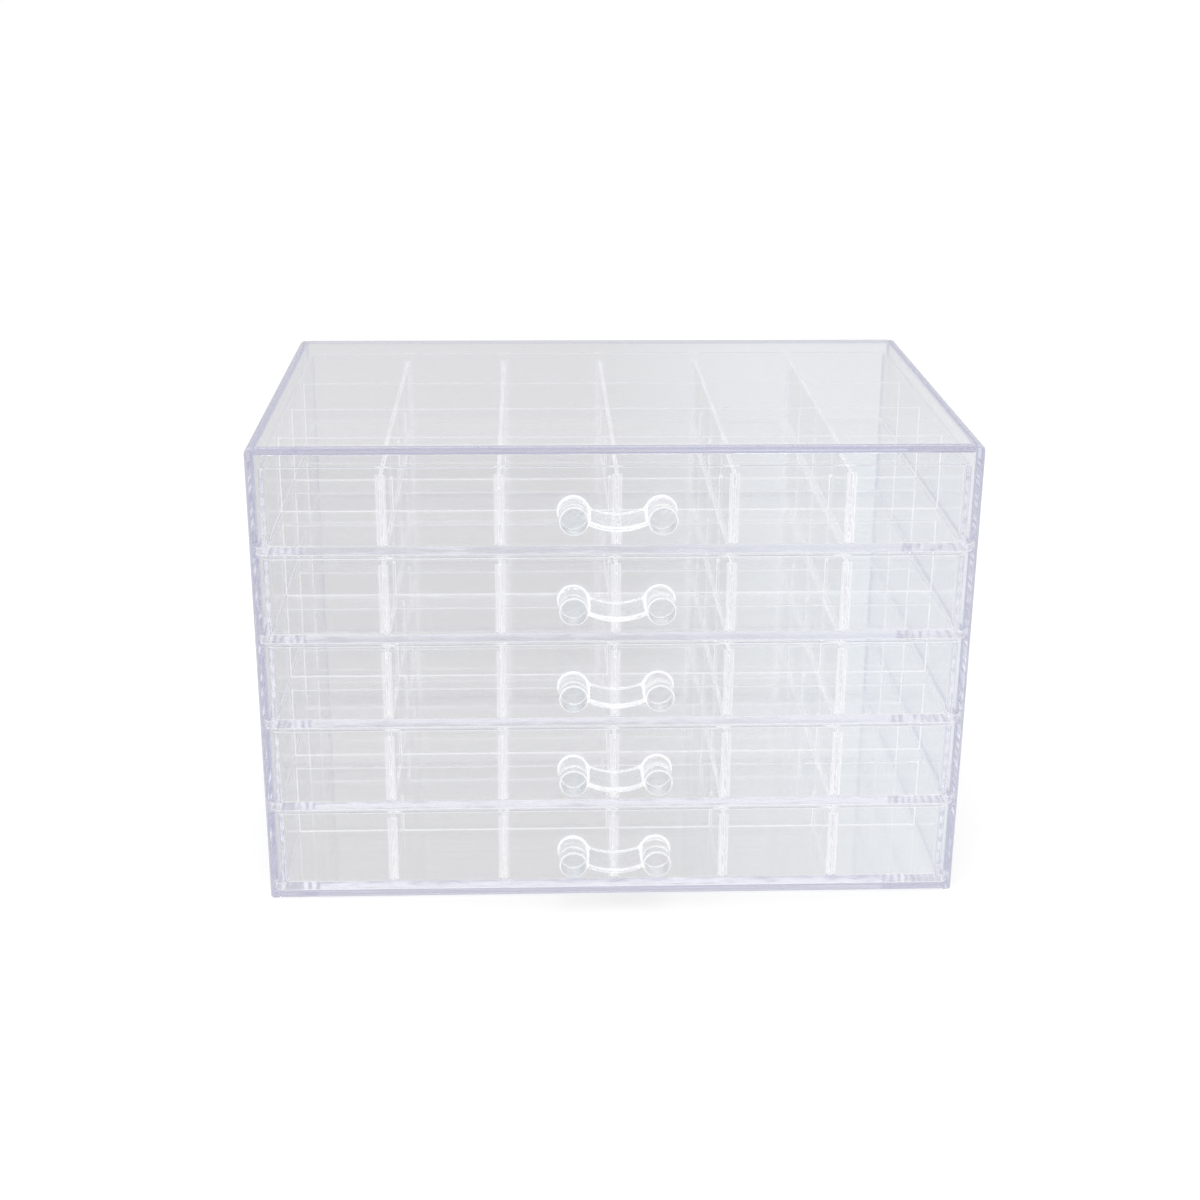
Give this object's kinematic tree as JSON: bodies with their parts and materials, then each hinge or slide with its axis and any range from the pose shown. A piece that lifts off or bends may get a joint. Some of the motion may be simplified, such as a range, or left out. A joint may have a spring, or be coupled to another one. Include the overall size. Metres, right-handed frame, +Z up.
{
  "type": "drawer organizer box",
  "caption": "Clear desktop organizer box, open at the front, with pull-out drawers whose trays are parted into small cells for nail polish and nail tips.",
  "frame": {"origin": "middle of the case's footprint, on the surface that the box stands on", "axes": "+X to the right seen from the front, +Z up, and the drawers pull out along -Y"},
  "size_m": [0.235, 0.1685, 0.16],
  "materials": {
    "case_plastic": "clear, polished",
    "tray_plastic": "clear, moulded",
    "divider_plastic": "clear, moulded",
    "handle_plastic": "clear, moulded"
  },
  "bodies": {
    "case": {"left_side_panel": "case_plastic", "right_side_panel": "case_plastic", "top_panel": "case_plastic", "base_panel": "case_plastic", "back_panel": "case_plastic"},
    "drawer_1": {"tray_1": "tray_plastic", "long_dividers_1": "divider_plastic", "cross_dividers_1": "divider_plastic", "handle_1": "handle_plastic"},
    "drawer_2": {"tray_2": "tray_plastic", "long_dividers_2": "divider_plastic", "cross_dividers_2": "divider_plastic", "handle_2": "handle_plastic"},
    "drawer_3": {"tray_3": "tray_plastic", "long_dividers_3": "divider_plastic", "cross_dividers_3": "divider_plastic", "handle_3": "handle_plastic"},
    "drawer_4": {"tray_4": "tray_plastic", "long_dividers_4": "divider_plastic", "cross_dividers_4": "divider_plastic", "handle_4": "handle_plastic"},
    "drawer_5": {"tray_5": "tray_plastic", "long_dividers_5": "divider_plastic", "cross_dividers_5": "divider_plastic", "handle_5": "handle_plastic"}
  },
  "joints": [
    {"name": "drawer_1_slide", "type": "slide", "parent": "case", "child": "drawer_1", "axis": [0, -1, 0], "range_m": [0, 0.12]},
    {"name": "drawer_2_slide", "type": "slide", "parent": "case", "child": "drawer_2", "axis": [0, -1, 0], "range_m": [0, 0.12]},
    {"name": "drawer_3_slide", "type": "slide", "parent": "case", "child": "drawer_3", "axis": [0, -1, 0], "range_m": [0, 0.12]},
    {"name": "drawer_4_slide", "type": "slide", "parent": "case", "child": "drawer_4", "axis": [0, -1, 0], "range_m": [0, 0.12]},
    {"name": "drawer_5_slide", "type": "slide", "parent": "case", "child": "drawer_5", "axis": [0, -1, 0], "range_m": [0, 0.12]}
  ]
}
